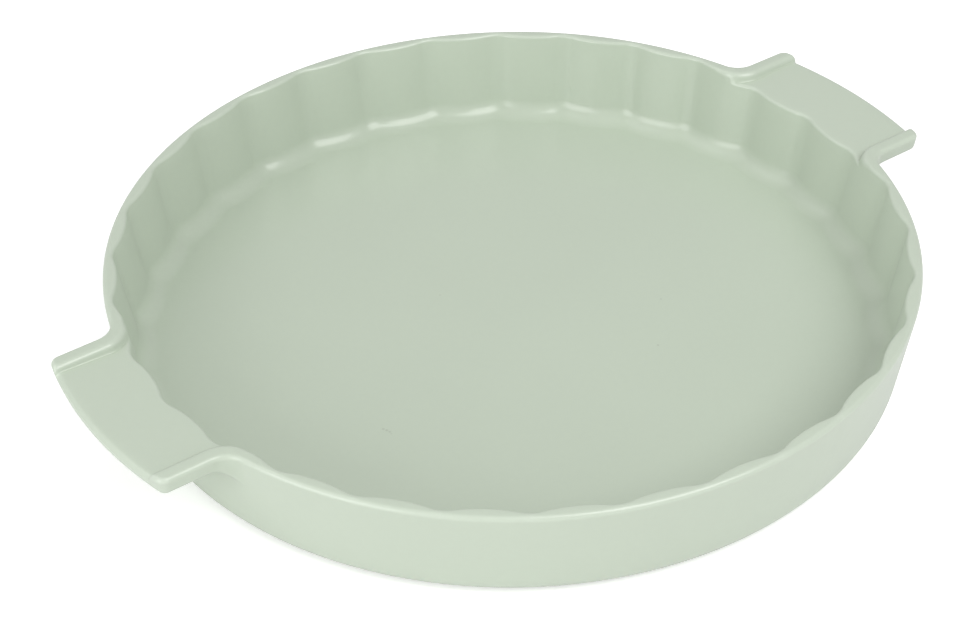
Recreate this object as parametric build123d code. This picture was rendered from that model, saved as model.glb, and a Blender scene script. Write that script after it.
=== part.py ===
from build123d import *
import os
from math import asin, atan, cos, degrees, hypot, pi, sin, tan

# A round pie dish in glazed stoneware: a flat floor, a leaning wall fluted on its inside,
# a flat rim, two lug handles whose ridges flow out of the rim, and a bare foot ring.
# The clay parts are joined before firing, so each is its own solid and they meet face to face.
#
# Frame: the origin is on the table under the middle of the dish, +X runs along the handles
# and +Z is up. A flute's groove lies on the +X axis. Lengths are millimetres.

# The dish as a whole
rim_radius = 150.0
dish_height = 40.0
outer_lean = 5.8  # how far the outer wall leans in from the rim to the table
base_rounding = 7.3
floor_thickness = 3.7

# The fluted wall
flute_count = 32
wall_at_grooves = 3.0
flute_depth = 2.9
groove_rounding = 1.75
inner_lean = 6.4  # how far the inner wall leans in over the height of the dish
cove_radius = 9.0
cove_flute_share = 0.6  # part of the flutes' depth that is left where the cove meets the floor
cove_rounding_share = 3.0  # how much rounder the grooves are there
cove_steps = 6
rim_edge_rounding = 1.6
rim_inner_rounding = 1.0
rim_inner_steps = 2

# The floor slab and the foot ring
floor_margin = 1.5  # from the slab's edge to the innermost flute
foot_height = 0.8
foot_width = 7.0
foot_set_in = 0.5

# The handles
handle_reach = 24.0
handle_width = 80.0
handle_thickness = 7.2
handle_corner = 4.0
handle_under_rounding = 2.0
root_fillet = 8.0
ridge_width = 6.7
recess_depth = 3.5
recess_rise = 1.0  # how much the sunk panel climbs towards its outer edge
panel_edge_rounding = 2.0
panel_edge_band = 1.0  # level strip between the panel's slope and its rounded outer edge
notch_corner = 12.0  # round corner where the rim turns into a ridge
edge_share = 0.45  # most that a rounding takes of the handle's thin outer edge

# Where the handles are let into the wall
seat_depth = 1.7
seat_margin = 2.0

# How far cutters run past what they cut, and how close two places are to be the same
overrun = 5.0
nearness = 0.01

# Where along an edge its place is read
middle_share = 0.5

# Values worked out from the sizes above
lean_out = outer_lean / dish_height
outer_draft = atan(lean_out)
lean_in = inner_lean / dish_height
draft = atan(lean_in)
half_pitch = pi / flute_count
reach = rim_radius + handle_reach
underside = dish_height - handle_thickness
edge_wall = handle_thickness - recess_depth + recess_rise
under_rounding = min(handle_under_rounding, edge_share * edge_wall)
panel_rounding = min(panel_edge_rounding, edge_share * edge_wall)
web_size = root_fillet + under_rounding  # the slope under a handle ends past its blend
web_foot = underside - web_size
lug_foot = web_foot - seat_margin
floor_top = foot_height + floor_thickness
cutter_top = dish_height + overrun
cove_centre = floor_top + cove_radius


def outer_at(z):
    """Radius of the outer wall at a height."""
    return rim_radius - lean_out * (dish_height - z)


def groove_at(z):
    """Radius of the flutes' grooves at a height of the straight part of the wall."""
    return rim_radius - wall_at_grooves - lean_in * (dish_height - z)


def polar(radius, angle):
    """Point of a plan at a radius and an angle."""
    return (radius * cos(angle), radius * sin(angle))


def flute_outline(groove, depth, rounding, z):
    """Closed outline of the dish's inside at one height.

    Each flute is an arc that bulges into the dish, and two neighbours meet in a groove of a small arc
    that both touch.
    """
    crest = groove - depth
    inner = groove - rounding
    along = inner * cos(half_pitch)
    flute = (rounding**2 - inner**2 - crest**2 + 2 * crest * along) / (2 * (crest - along - rounding))
    centre = crest + flute
    x = along - centre
    y = -inner * sin(half_pitch)
    share = flute / hypot(x, y)
    touch_x, touch_y = centre + share * x, share * y
    touch = hypot(touch_x, touch_y)
    turn = atan(-touch_y / touch_x)
    arcs = []
    for k in range(flute_count):
        at_groove = 2 * k * half_pitch
        at_crest = at_groove + half_pitch
        groove_points = (
            polar(touch, at_groove - half_pitch + turn),
            polar(groove, at_groove),
            polar(touch, at_groove + half_pitch - turn),
        )
        crest_points = (polar(touch, at_crest - turn), polar(crest, at_crest), polar(touch, at_crest + turn))
        arcs += [ThreePointArc(*points) for points in (groove_points, crest_points)]
    return Pos(0, 0, z) * Wire(arcs)


def rim_sections():
    """Outlines of the inside from the foot of the rim's inner rounding to above the rim."""
    wall_top = dish_height - rim_inner_rounding * (1 - sin(draft))
    wall = groove_at(wall_top)
    sections = []
    for step in range(rim_inner_steps + 1):
        angle = draft + (pi / 2 - draft) * step / rim_inner_steps
        out = rim_inner_rounding * (cos(draft) - cos(angle))
        z = dish_height - rim_inner_rounding * (1 - sin(angle))
        sections.append(flute_outline(wall + out, flute_depth, groove_rounding + out, z))
    return sections + [Pos(0, 0, overrun) * sections[-1]]


def cove_sections():
    """Outlines of the inside down the cove, where the flutes grow shallower and rounder."""
    wall_foot = cove_centre - cove_radius * sin(draft)
    sections = []
    for step in range(cove_steps + 1):
        share = step / cove_steps
        angle = draft + (pi / 2 - draft) * share
        groove = groove_at(wall_foot) - cove_radius * (cos(draft) - cos(angle))
        depth = flute_depth * (1 - (1 - cove_flute_share) * share)
        rounding = groove_rounding * (1 + (cove_rounding_share - 1) * share)
        sections.append(flute_outline(groove, depth, rounding, cove_centre - cove_radius * sin(angle)))
    return sections


def cavity():
    """The space inside the dish: a leaning fluted wall, and a cove that turns into the floor."""
    cove = cove_sections()
    wall = Solid.make_loft([cove[0]] + rim_sections(), ruled=True)
    return wall + Solid.make_loft(cove)


def floor_radius():
    """Radius of the floor slab, just inside the innermost point of the flutes."""
    wall_foot = cove_centre - cove_radius * sin(draft)
    groove = groove_at(wall_foot) - cove_radius * cos(draft)
    return groove - flute_depth * cove_flute_share - floor_margin


def outer_form():
    """The dish's outside as a full round, with its base corner rounded."""
    profile = make_face(
        Polyline(
            (0, foot_height),
            (outer_at(foot_height), foot_height),
            (rim_radius, dish_height),
            (0, dish_height),
            close=True,
        )
    )
    corner = profile.vertices().group_by(Axis.Y)[0].sort_by(Axis.X)[-1]
    return revolve(Plane.YZ * fillet(corner, base_rounding), Axis.Z)


def lug_plan():
    """Plan of the rim with both handles, blended into the rim and rounded at the tips."""
    plan = Circle(reach) & Rectangle(2 * reach + overrun, handle_width)
    tips = [v for v in plan.vertices() if abs(v.X) > rim_radius]
    plan = fillet(tips, handle_corner) + Circle(rim_radius)
    roots = [v for v in plan.vertices() if abs(hypot(v.X, v.Y) - rim_radius) < nearness]
    return fillet(roots, root_fillet)


def lug_section():
    """Everything within the handles' height, turned round, with the slope under their roots."""
    profile = make_face(
        Polyline(
            (0, web_foot),
            (outer_at(web_foot), web_foot),
            (outer_at(web_foot) + web_size, underside),
            (reach + overrun, underside),
            (reach + overrun, dish_height),
            (0, dish_height),
            close=True,
        )
    )
    return revolve(Plane.YZ * profile, Axis.Z)


def lugs():
    """Both handles on a slice of the wall, with the wall's own draft and a rounded lower edge."""
    prism = extrude(Pos(0, 0, dish_height) * lug_plan(), lug_foot - dish_height, taper=degrees(outer_draft))
    blocks = prism & lug_section()
    lower = []
    for edge in blocks.edges():
        point = edge @ middle_share
        low = abs(point.Z - underside) < nearness
        if low and hypot(point.X, point.Y) > rim_radius + web_size:
            lower.append(edge)
    return fillet(lower, under_rounding)


class Notch:
    """The plan of a handle's sunk panel, open to the dish and to the outside.

    Its side runs along the ridge and turns in a round corner that touches the ring of flute crests.
    """

    side = handle_width / 2 - ridge_width
    out = groove_at(dish_height) - flute_depth + notch_corner
    angle = asin((side + notch_corner) / out)
    centre = (out * cos(angle), side + notch_corner)


def notch_outline():
    """Face of the sunk panel's plan at the rim's height."""
    x, y = Notch.centre
    halfway = (Notch.angle + pi / 2) / 2
    touch = (x - notch_corner * cos(Notch.angle), y - notch_corner * sin(Notch.angle))
    middle = (x - notch_corner * cos(halfway), y - notch_corner * sin(halfway))
    foot = (x, Notch.side)
    inside, outside = rim_radius / 2, reach + overrun
    upper = [
        Line((inside, 0), (inside, touch[1])),
        Line((inside, touch[1]), touch),
        ThreePointArc(touch, middle, foot),
        Line(foot, (outside, Notch.side)),
        Line((outside, Notch.side), (outside, 0)),
    ]
    half = make_face(upper + [Line((outside, 0), (inside, 0))])
    return half + mirror(half, Plane.XZ)


def above_panel():
    """Everything above the handles' panels, which climb a little towards their outer edge."""
    inner = dish_height - recess_depth
    outer = inner + recess_rise
    profile = Polyline(
        (0, inner),
        (groove_at(inner), inner),
        (reach - panel_rounding - panel_edge_band, outer),
        (reach + overrun, outer),
        (reach + overrun, cutter_top),
        (0, cutter_top),
        close=True,
    )
    return revolve(Plane.YZ * make_face(profile), Axis.Z)


def recesses():
    """Cutters for both sunk panels."""
    cutter = extrude(Pos(0, 0, underside) * notch_outline(), cutter_top - underside) & above_panel()
    return cutter + Rot(0, 0, 180) * cutter


def on_recess_top(edge):
    """Whether an edge lies along the top of a ridge's inner side or its round corner."""
    point = edge @ middle_share
    x, y = abs(point.X), abs(point.Y)
    on_side = abs(y - Notch.side) < nearness and x > Notch.centre[0]
    from_centre = hypot(x - Notch.centre[0], y - Notch.centre[1])
    return on_side or abs(from_centre - notch_corner) < nearness


def on_panel_edge(edge):
    """Whether an edge is the outer edge of a sunk panel."""
    point = edge @ middle_share
    height = dish_height - recess_depth + recess_rise
    at_edge = abs(hypot(point.X, point.Y) - reach + lean_out * (dish_height - height)) < nearness
    return at_edge and abs(point.Z - height) < nearness and abs(point.Y) < Notch.side


def top_edges(body):
    """Edges of the rim and the ridges that are rounded together: all but those inside the dish."""
    tops = [f for f in body.faces() if abs(f.center().Z - dish_height) < nearness]
    edges = [e for face in tops for e in face.edges()]
    outside = [e for e in edges if hypot((e @ middle_share).X, (e @ middle_share).Y) > rim_radius - nearness]
    return outside + [e for e in edges if on_recess_top(e)]


def whole_dish():
    """The dish above its foot ring, in one piece, for cutting into its clay parts."""
    cutter = recesses()
    body = (outer_form() - cutter) + (lugs() - cutter)
    body = fillet([e for e in body.edges() if on_panel_edge(e)], panel_rounding)
    return fillet(top_edges(body), rim_edge_rounding) - cavity()


def handle_space():
    """Space that the handle on the +X side fills, let a little into the outer wall."""
    half_spread = handle_width / 2 + root_fillet + seat_margin
    profile = Polyline(
        (outer_at(lug_foot) - seat_depth, lug_foot),
        (reach + overrun, lug_foot),
        (reach + overrun, cutter_top),
        (outer_at(cutter_top) - seat_depth, cutter_top),
        close=True,
    )
    ring = revolve(Plane.YZ * make_face(profile), Axis.Z)
    slab = extrude(Pos(reach, 0, lug_foot) * Rectangle(2 * reach, 2 * half_spread), cutter_top - lug_foot)
    return ring & slab


def foot():
    """The bare foot ring under the flat of the wall's base."""
    flat_radius = outer_at(foot_height) - base_rounding * tan(pi / 4 - outer_draft / 2)
    outside = flat_radius - foot_set_in
    return extrude(Circle(outside) - Circle(outside - foot_width), foot_height)


dish = whole_dish()
space = handle_space()
opposite_space = Rot(0, 0, 180) * space
slab_space = extrude(Pos(0, 0, foot_height) * Circle(floor_radius()), cutter_top)

nodes = {
    "dish_floor": dish & slab_space,
    "fluted_wall": dish - slab_space - space - opposite_space,
    "foot_ring": foot(),
    "handle_right": dish & space,
    "handle_left": dish & opposite_space,
}

os.makedirs("parts", exist_ok=True)
for name, shape in nodes.items():
    export_step(shape, f"parts/{name}.step")
    print(name, len(shape.solids()), round(shape.volume), shape.is_valid)
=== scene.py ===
"""A round stoneware pie dish: the looks of its clay parts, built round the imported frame.

Shapes are worked out in millimetres in the frame's own axes and turned into metres when a mesh is made.
"""

import logging
import math
from dataclasses import dataclass
from enum import Enum

import bmesh
import bpy
import numpy as np
from mathutils import Matrix, Vector
from mathutils.geometry import delaunay_2d_cdt


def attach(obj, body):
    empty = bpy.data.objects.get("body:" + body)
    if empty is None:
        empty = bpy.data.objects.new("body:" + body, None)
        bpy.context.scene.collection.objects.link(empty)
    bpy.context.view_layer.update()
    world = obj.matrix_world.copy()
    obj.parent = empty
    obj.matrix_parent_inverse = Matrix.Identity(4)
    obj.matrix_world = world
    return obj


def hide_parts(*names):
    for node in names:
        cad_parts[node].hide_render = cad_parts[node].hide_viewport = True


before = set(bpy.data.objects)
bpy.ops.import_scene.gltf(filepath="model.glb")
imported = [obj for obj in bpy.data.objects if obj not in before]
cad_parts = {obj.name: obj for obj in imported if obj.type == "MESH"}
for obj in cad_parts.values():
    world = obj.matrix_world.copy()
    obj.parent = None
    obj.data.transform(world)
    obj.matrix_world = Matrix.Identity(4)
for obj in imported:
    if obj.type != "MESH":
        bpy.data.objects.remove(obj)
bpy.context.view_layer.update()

log = logging.getLogger("pie_dish")
MM = 0.001

# How steeply a rounding is carried on past its edge, where no point of it is kept
PAST_EDGE_SLOPE = 30.0

# Distances from the side of a sunk panel, in millimetres, at which the top has a line of points
RIDGE_RINGS = (-2.0, -1.4, -1.0, -0.75, -0.55, -0.35, -0.15, 0.0, 0.1, 0.35, 0.7, 1.1, 1.5, 1.9, 2.3)


class Label(Enum):
    """The clay part that a face of the dish's skin belongs to."""

    WALL = 0
    RIGHT = 1
    LEFT = 2


@dataclass(frozen=True)
class DishSizes:
    """Sizes of the dish in millimetres.

    They are those of the frame's clay parts, with softer flutes, and a rim a hair inside the frame's box.
    """

    rim_radius: float = 149.98
    height: float = 40.0
    outer_lean: float = 5.8
    base_rounding: float = 7.3
    floor_thickness: float = 3.7
    floor_radius: float = 130.4
    foot_height: float = 0.8
    foot_width: float = 7.0
    foot_set_in: float = 0.5
    flute_count: int = 32
    wall_at_grooves: float = 3.3
    flute_depth: float = 2.1
    groove_rounding: float = 12.0
    inner_lean: float = 6.4
    cove_radius: float = 9.0
    cove_flute_share: float = 0.6
    cove_rounding_share: float = 1.2
    rim_edge_rounding: float = 1.6
    rim_inner_rounding: float = 1.4
    seat_depth: float = 2.1
    seat_foot: float = 20.8

    @property
    def lean_out(self) -> float:
        """Slope of the outer wall from the upright."""
        return self.outer_lean / self.height

    @property
    def lean(self) -> float:
        """Angle of the outer wall from the upright."""
        return math.atan(self.lean_out)

    @property
    def draft(self) -> float:
        """Angle of the inner wall from the upright."""
        return math.atan(self.inner_lean / self.height)

    @property
    def half_pitch(self) -> float:
        """Angle from a flute's groove to its crest."""
        return math.pi / self.flute_count

    @property
    def floor_top(self) -> float:
        """Height of the floor inside the dish."""
        return self.foot_height + self.floor_thickness

    @property
    def base_touch(self) -> float:
        """Height at which the base's rounding meets the outer wall."""
        return self.foot_height + self.base_rounding * (1.0 - math.sin(self.lean))

    @property
    def base_centre(self) -> float:
        """Radius of the middle of the base's rounding, where the flat underside starts."""
        return float(self.outer_at(self.base_touch)) - self.base_rounding * math.cos(self.lean)

    def outer_at(self, z: np.ndarray) -> np.ndarray:
        """Radius of the outer wall at a height."""
        return self.rim_radius - self.lean_out * (self.height - z)

    def groove_at(self, z: np.ndarray) -> np.ndarray:
        """Radius of the flutes' grooves on the straight inner wall at a height."""
        return self.rim_radius - self.wall_at_grooves - math.tan(self.draft) * (self.height - z)


@dataclass(frozen=True)
class LugSizes:
    """Sizes of a lug handle in millimetres."""

    reach: float = 173.975
    half_width: float = 40.0
    thickness: float = 7.2
    corner: float = 4.0
    root: float = 8.0
    under_rounding: float = 2.0
    under_fillet: float = 9.0
    side: float = 33.3
    notch_corner: float = 12.0
    ridge_rounding: float = 2.2
    side_slope: float = 3.0
    foot_softness: float = 1.2
    recess_depth: float = 3.5
    recess_rise: float = 1.0
    panel_edge_rounding: float = 2.0
    panel_edge_band: float = 1.0
    fade_angle: float = math.radians(3.0)


def smooth_step(value: np.ndarray) -> np.ndarray:
    """Smooth ramp from 0 to 1 as the value goes from 0 to 1."""
    t = np.clip(value, 0.0, 1.0)
    return t * t * (3.0 - 2.0 * t)


def quarter_drop(distance: np.ndarray, radius: np.ndarray) -> np.ndarray:
    """How far a quarter round has dropped at a distance from its edge.

    Args:
        distance: Distance in from the edge, negative outside it.
        radius: Radius of the rounding.

    Returns:
        The drop below the flat that the rounding leaves, carried on steeply past the edge.
    """
    inward = np.clip(radius - distance, 0.0, radius)
    drop = radius - np.sqrt(np.maximum(radius**2 - inward**2, 0.0))
    return drop + PAST_EDGE_SLOPE * np.maximum(-distance, 0.0)


def smooth_max(a: np.ndarray, b: np.ndarray, softness: float) -> np.ndarray:
    """The larger of two heights, with the corner between them filled by a soft round."""
    mix = np.clip(softness - np.abs(a - b), 0.0, softness) / softness
    return np.maximum(a, b) + mix * mix * softness / 4.0


class LugPlan:
    """The plan of one lug handle on the +X side, its outline and the outline of its sunk panel."""

    EDGE_BLEND = 0.8
    LEAST_ROUNDING = 0.01
    RING_CLEARANCE = 0.6
    PANEL_STEPS = 19
    TIP_STEPS = 9
    SIDE_STEPS = 10
    ROOT_STEPS = 12

    def __init__(self, dish: DishSizes, lug: LugSizes) -> None:
        """Works out the centres of the plan's arcs.

        Args:
            dish: Sizes of the dish.
            lug: Sizes of the lug.
        """
        self.dish = dish
        self.lug = lug
        out = lug.reach - lug.corner
        tip_y = lug.half_width - lug.corner
        self.tip = (math.sqrt(out**2 - tip_y**2), tip_y)
        self.tip_angle = math.atan2(self.tip[1], self.tip[0])
        far = dish.rim_radius + lug.root
        root_y = lug.half_width + lug.root
        self.root = (math.sqrt(far**2 - root_y**2), root_y)
        self.root_angle = math.atan2(self.root[1], self.root[0])
        wall_top = dish.height - lug.ridge_rounding - dish.rim_inner_rounding
        self.crest = float(dish.groove_at(wall_top)) - dish.flute_depth
        turn = self.crest + lug.notch_corner
        notch_y = lug.side + lug.notch_corner
        self.notch = (math.sqrt(turn**2 - notch_y**2), notch_y)
        self.notch_angle = math.atan2(self.notch[1], self.notch[0])

    def depth(self, x: np.ndarray, y: np.ndarray) -> np.ndarray:
        """Distance of plan points in from the outline of the rim and the lug.

        Args:
            x: Plan coordinates along the handles.
            y: Plan coordinates across them.

        Returns:
            The distance, negative outside.
        """
        y = np.abs(y)
        radius = np.hypot(x, y)
        angle = np.arctan2(y, x)
        inside = np.minimum(self.lug.half_width - y, self.lug.reach - radius)
        dx, dy = x - self.tip[0], y - self.tip[1]
        at_tip = (dx >= 0) & (dy * math.cos(self.tip_angle) >= dx * math.sin(self.tip_angle))
        inside = np.where(at_tip, self.lug.corner - np.hypot(dx, dy), inside)
        dx, dy = x - self.root[0], y - self.root[1]
        at_root = (dx <= 0) & (dy <= 0) & (angle <= self.root_angle)
        inside = np.where(at_root, np.hypot(dx, dy) - self.lug.root, inside)
        return np.where(angle > self.root_angle, self.dish.rim_radius - radius, inside)

    def ridge(self, x: np.ndarray, y: np.ndarray) -> np.ndarray:
        """Distance of plan points from the side of the sunk panel, positive on the ridge.

        Args:
            x: Plan coordinates along the handles.
            y: Plan coordinates across them.

        Returns:
            The distances.
        """
        y = np.abs(y)
        radius = np.hypot(x, y)
        dx, dy = x - self.notch[0], y - self.notch[1]
        inside = np.where(dx >= 0, y - self.lug.side, self.lug.notch_corner - np.hypot(dx, dy))
        return np.where(np.arctan2(y, x) > self.notch_angle, radius - self.crest, inside)

    def panel(self, radius: np.ndarray) -> np.ndarray:
        """Height of the sunk panel at a radius.

        Args:
            radius: Distances from the dish's axis.

        Returns:
            The heights.
        """
        low = self.dish.height - self.lug.recess_depth
        inner = float(self.dish.groove_at(low))
        outer = self.lug.reach - self.lug.panel_edge_rounding - self.lug.panel_edge_band
        return low + self.lug.recess_rise * np.clip((radius - inner) / (outer - inner), 0.0, 1.0)

    def edge_rounding(self, x: np.ndarray, y: np.ndarray) -> np.ndarray:
        """Radius of the top edge's rounding: larger along the panel than along the ridges.

        Args:
            x: Plan coordinates along the handles.
            y: Plan coordinates across them.

        Returns:
            The radii.
        """
        share = smooth_step((self.ridge(x, y) + self.EDGE_BLEND) / self.EDGE_BLEND)
        panel, rim = self.lug.panel_edge_rounding, self.dish.rim_edge_rounding
        return panel + (rim - panel) * share

    def level(self, x: np.ndarray, y: np.ndarray) -> np.ndarray:
        """Height of the top, with the ridges and the panel but without its outer rounding.

        Args:
            x: Plan coordinates along the handles.
            y: Plan coordinates across them.

        Returns:
            The heights.
        """
        angle = np.arctan2(np.abs(y), x)
        fade = 1.0 - smooth_step((angle - self.notch_angle) / self.lug.fade_angle)
        rounding = np.maximum(self.lug.ridge_rounding * fade, self.LEAST_ROUNDING)
        across = self.ridge(x, y)
        side = self.lug.ridge_rounding * fade
        inward = np.clip(rounding - across, 0.0, rounding)
        top = self.dish.height - (rounding - np.sqrt(np.maximum(rounding**2 - inward**2, 0.0)))
        top = top + np.where(angle > self.notch_angle, 0.0, self.lug.side_slope * np.minimum(across, 0.0))
        panel = np.where(side > 0, self.panel(np.hypot(x, y)), 0.0)
        return smooth_max(top, panel, self.lug.foot_softness)

    def inset(self, x: np.ndarray, y: np.ndarray) -> np.ndarray:
        """How far the draft has drawn the side in where the top edge's rounding starts."""
        return self.dish.lean_out * (self.dish.height - self.level(x, y) + self.edge_rounding(x, y))

    def top(self, x: np.ndarray, y: np.ndarray) -> np.ndarray:
        """Height of the finished top, with its outer rounding."""
        depth = self.depth(x, y) - self.inset(x, y)
        return self.level(x, y) - quarter_drop(depth, self.edge_rounding(x, y))

    def outline(self, columns: int, end_angle: float) -> tuple[np.ndarray, np.ndarray]:
        """Points and outward normals of the outline from the middle of the lug to the plain rim.

        Args:
            columns: How many points follow the first one.
            end_angle: Angle of the last point on the rim.

        Returns:
            The points and the unit normals, one row for each point.
        """
        lug, middle = self.lug, (0.0, 0.0)
        lines = lug.side + np.array(RIDGE_RINGS)
        flat = np.linspace(0.0, lines[0] - self.RING_CLEARANCE, self.PANEL_STEPS)
        front = np.arcsin(np.concatenate([flat, lines]) / lug.reach)
        front = np.concatenate([front, [(front[-1] + self.tip_angle) / 2]])
        at_tip = np.linspace(self.tip_angle, math.pi / 2, self.TIP_STEPS)
        xs = np.linspace(self.tip[0], self.root[0], self.SIDE_STEPS)[1:-1]
        at_root = np.linspace(-math.pi / 2, self.root_angle - math.pi, self.ROOT_STEPS)
        left = columns + 1 - sum(len(stretch) for stretch in (front, at_tip, xs, at_root))
        on_rim = np.linspace(self.root_angle, end_angle, left + 1)[1:]
        points, normals = [], []
        for turns, centre, radius, side in (
            (front, middle, lug.reach, 1),
            (at_tip, self.tip, lug.corner, 1),
            (xs, None, 0.0, 1),
            (at_root, self.root, lug.root, -1),
            (on_rim, middle, self.dish.rim_radius, 1),
        ):
            if centre is None:
                points.append(np.stack([turns, np.full_like(turns, lug.half_width)], 1))
                normals.append(np.tile((0.0, 1.0), (len(turns), 1)))
            else:
                away = np.stack([np.cos(turns), np.sin(turns)], 1)
                points.append(away * radius + centre)
                normals.append(away * side)
        return np.concatenate(points), np.concatenate(normals)


@dataclass(frozen=True)
class NodeTree:
    """A node tree of any kind, with short ways to add nodes and link them."""

    tree: bpy.types.NodeTree

    def add(self, kind: str, **settings: object) -> bpy.types.Node:
        """Adds a node of a kind and sets its properties.

        Args:
            kind: The node's type.
            settings: Its properties by name.

        Returns:
            The node.
        """
        node = self.tree.nodes.new(kind)
        for name, value in settings.items():
            setattr(node, name, value)
        return node

    def feed(self, socket: bpy.types.NodeSocket, value: object) -> None:
        """Links a value to a socket, or sets the socket where the value is plain.

        Args:
            socket: The input to feed.
            value: A socket or a plain value.
        """
        if isinstance(value, bpy.types.NodeSocket):
            self.tree.links.new(value, socket)
        else:
            socket.default_value = value

    def math(self, operation: str, *values: object) -> bpy.types.NodeSocket:
        """Adds a maths node.

        Args:
            operation: Name of the operation.
            values: Sockets or numbers for its inputs.

        Returns:
            The node's output.
        """
        node = self.add("ShaderNodeMath", operation=operation)
        for socket, value in zip(node.inputs, values):
            self.feed(socket, value)
        return node.outputs[0]


class FluteTree:
    """Geometry Nodes that press the flutes into a plain lining.

    Each flute is an arc that bulges into the dish, and two neighbours meet in a groove of a small arc
    that both touch. The lining's points say how deep and how round the flutes are at their height.
    """

    INPUTS = ("Flutes", "Flute Depth", "Groove Rounding")

    def __init__(self) -> None:
        """Builds the tree."""
        tree = bpy.data.node_groups.new("press_flutes", "GeometryNodeTree")
        self.tree = tree
        self.nodes = NodeTree(tree)
        tree.interface.new_socket("Geometry", in_out="INPUT", socket_type="NodeSocketGeometry")
        for name in self.INPUTS:
            tree.interface.new_socket(name, in_out="INPUT", socket_type="NodeSocketFloat")
        tree.interface.new_socket("Material", in_out="INPUT", socket_type="NodeSocketMaterial")
        tree.interface.new_socket("Geometry", in_out="OUTPUT", socket_type="NodeSocketGeometry")
        self.build()

    def attribute(self, name: str) -> bpy.types.NodeSocket:
        """Reads a named number of each point.

        Args:
            name: The attribute's name.

        Returns:
            The numbers.
        """
        node = self.nodes.add("GeometryNodeInputNamedAttribute", data_type="FLOAT")
        node.inputs["Name"].default_value = name
        return node.outputs["Attribute"]

    def radius(self, given: bpy.types.Node, turn: bpy.types.NodeSocket) -> bpy.types.NodeSocket:
        """Radius of the fluted outline at a point's angle.

        Args:
            given: The tree's group input node.
            turn: The point's angle about the dish's axis.

        Returns:
            The radius.
        """
        calc = self.nodes.math
        half = calc("DIVIDE", math.pi, given.outputs["Flutes"])
        depth = calc("MULTIPLY", given.outputs["Flute Depth"], self.attribute("depth_share"))
        rounding = calc("MULTIPLY", given.outputs["Groove Rounding"], self.attribute("rounding_share"))
        rounding = calc("ADD", rounding, self.attribute("rounding_extra"))
        groove = self.attribute("groove")
        from_groove = calc("PINGPONG", turn, half)
        from_crest = calc("SUBTRACT", half, from_groove)
        crest = calc("SUBTRACT", groove, depth)
        inner = calc("SUBTRACT", groove, rounding)
        along = calc("MULTIPLY", inner, calc("COSINE", half))
        aside = calc("MULTIPLY", inner, calc("SINE", half))
        gap = calc("SUBTRACT", crest, along)
        squares = calc("SUBTRACT", calc("POWER", rounding, 2.0), calc("POWER", aside, 2.0))
        squares = calc("SUBTRACT", squares, calc("MULTIPLY", gap, gap))
        flute = calc("DIVIDE", squares, calc("MULTIPLY", 2.0, calc("SUBTRACT", gap, rounding)))
        centre = calc("ADD", crest, flute)
        back = calc("SUBTRACT", along, centre)
        reach = calc("SQRT", calc("ADD", calc("MULTIPLY", back, back), calc("MULTIPLY", aside, aside)))
        share = calc("DIVIDE", flute, reach)
        touch_x = calc("ADD", centre, calc("MULTIPLY", share, back))
        touch = calc("ARCTAN2", calc("MULTIPLY", share, aside), touch_x)
        in_flute = self.chord(centre, flute, from_crest, "SUBTRACT")
        in_groove = self.chord(inner, rounding, from_groove, "ADD")
        at_flute = calc("LESS_THAN", from_crest, touch)
        difference = calc("SUBTRACT", in_flute, in_groove)
        return calc("MULTIPLY_ADD", at_flute, difference, in_groove)

    def chord(
        self,
        centre: bpy.types.NodeSocket,
        size: bpy.types.NodeSocket,
        turn: bpy.types.NodeSocket,
        side: str,
    ) -> bpy.types.NodeSocket:
        """Where a ray from the dish's axis meets an arc.

        Args:
            centre: Distance of the arc's centre from the axis.
            size: Radius of the arc.
            turn: Angle of the ray from the direction of the centre.
            side: ADD for the far meeting point and SUBTRACT for the near one.

        Returns:
            Distance of the meeting point from the axis.
        """
        calc = self.nodes.math
        aside = calc("MULTIPLY", centre, calc("SINE", turn))
        square = calc("SUBTRACT", calc("MULTIPLY", size, size), calc("MULTIPLY", aside, aside))
        half_chord = calc("SQRT", calc("MAXIMUM", square, 0.0))
        return calc(side, calc("MULTIPLY", centre, calc("COSINE", turn)), half_chord)

    def build(self) -> None:
        """Moves each point along its radius and hands the mesh on with its material."""
        nodes, calc = self.nodes, self.nodes.math
        given = nodes.add("NodeGroupInput")
        place = nodes.add("ShaderNodeSeparateXYZ")
        nodes.feed(place.inputs[0], nodes.add("GeometryNodeInputPosition").outputs[0])
        x, y, z = place.outputs
        turn = calc("ABSOLUTE", calc("ARCTAN2", y, x))
        plain = calc("SQRT", calc("ADD", calc("MULTIPLY", x, x), calc("MULTIPLY", y, y)))
        change = calc("SUBTRACT", self.radius(given, turn), plain)
        moved = calc("MULTIPLY_ADD", change, self.attribute("fluted"), plain)
        scale = calc("DIVIDE", moved, plain)
        pressed = nodes.add("ShaderNodeCombineXYZ")
        nodes.feed(pressed.inputs[0], calc("MULTIPLY", x, scale))
        nodes.feed(pressed.inputs[1], calc("MULTIPLY", y, scale))
        nodes.feed(pressed.inputs[2], z)
        setter = nodes.add("GeometryNodeSetPosition")
        nodes.feed(setter.inputs["Geometry"], given.outputs["Geometry"])
        nodes.feed(setter.inputs["Position"], pressed.outputs[0])
        real = nodes.add("GeometryNodeRealizeInstances")
        nodes.feed(real.inputs["Geometry"], setter.outputs["Geometry"])
        dressed = nodes.add("GeometryNodeSetMaterial")
        nodes.feed(dressed.inputs["Geometry"], real.outputs["Geometry"])
        nodes.feed(dressed.inputs["Material"], given.outputs["Material"])
        out = nodes.add("NodeGroupOutput")
        nodes.feed(out.inputs[0], dressed.outputs["Geometry"])

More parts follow.
